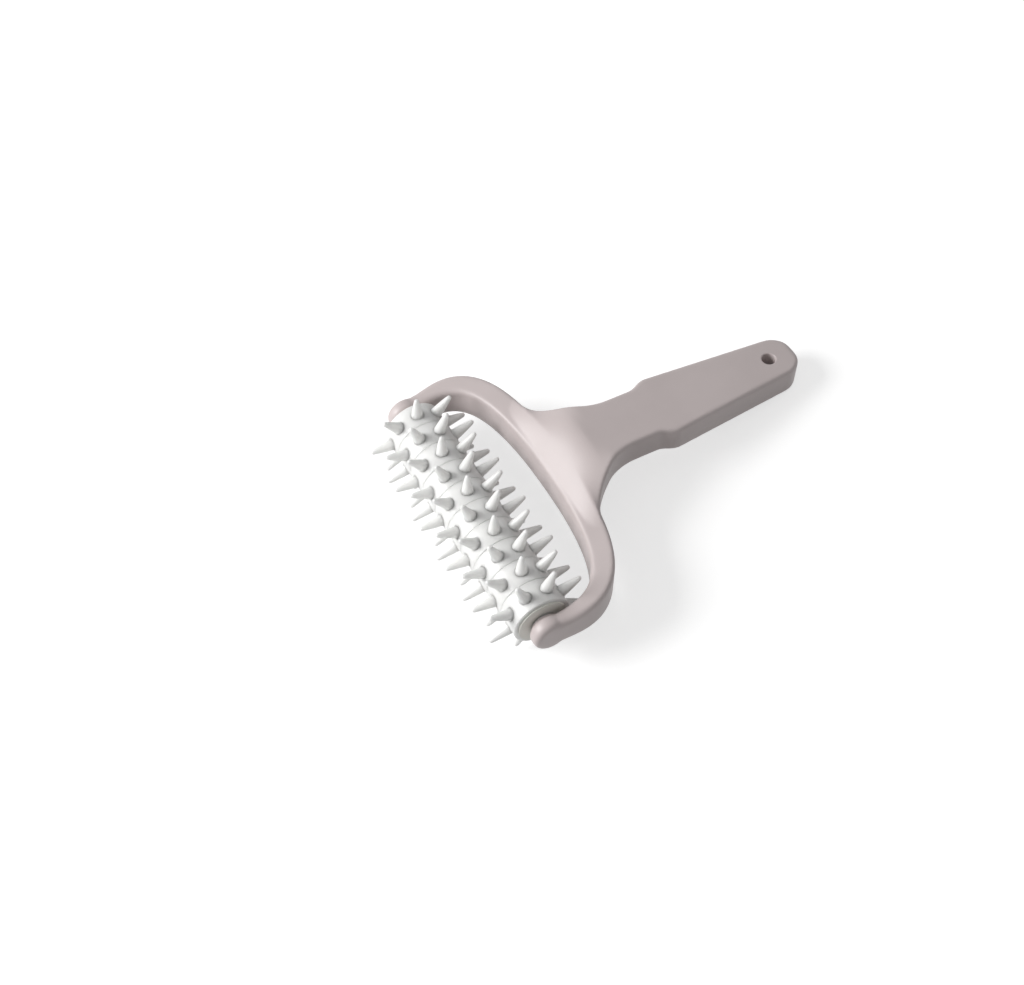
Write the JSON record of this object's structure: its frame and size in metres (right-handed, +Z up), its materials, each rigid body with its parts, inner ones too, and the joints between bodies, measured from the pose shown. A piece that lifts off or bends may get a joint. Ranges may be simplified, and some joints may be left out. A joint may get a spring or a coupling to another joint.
{
  "type": "dough docker",
  "caption": "Hand-held dough docker: a spiked plastic roller that turns freely between the arms of a forked grip with a hang hole.",
  "frame": {"origin": "on the table under the middle of the whole object's bounding box, with the object resting on its spikes and the end of its grip", "axes": "+X along the roller's axle, +Y from the roller towards the end of the grip, +Z up"},
  "size_m": [0.1296, 0.1729, 0.0428],
  "materials": {
    "fork_plastic": "satin",
    "roller_plastic": "semi-gloss",
    "bush_plastic": "satin",
    "axle_steel": "drawn"
  },
  "bodies": {
    "fork": {"fork_handle": "fork_plastic", "axle": "axle_steel", "washer_left": "axle_steel", "washer_right": "axle_steel"},
    "roller": {"roller_core": "roller_plastic", "bush_left": "bush_plastic", "bush_right": "bush_plastic", "ring_01": "roller_plastic", "ring_02": "roller_plastic", "ring_03": "roller_plastic", "ring_04": "roller_plastic", "ring_05": "roller_plastic", "ring_06": "roller_plastic", "ring_07": "roller_plastic", "ring_08": "roller_plastic", "ring_09": "roller_plastic", "ring_10": "roller_plastic"}
  },
  "joints": [
    {"name": "roller_spin", "type": "hinge", "parent": "fork", "child": "roller", "pos_m": [0, -0.06506, 0.0214], "axis": [1, 0, 0], "continuous": true}
  ]
}
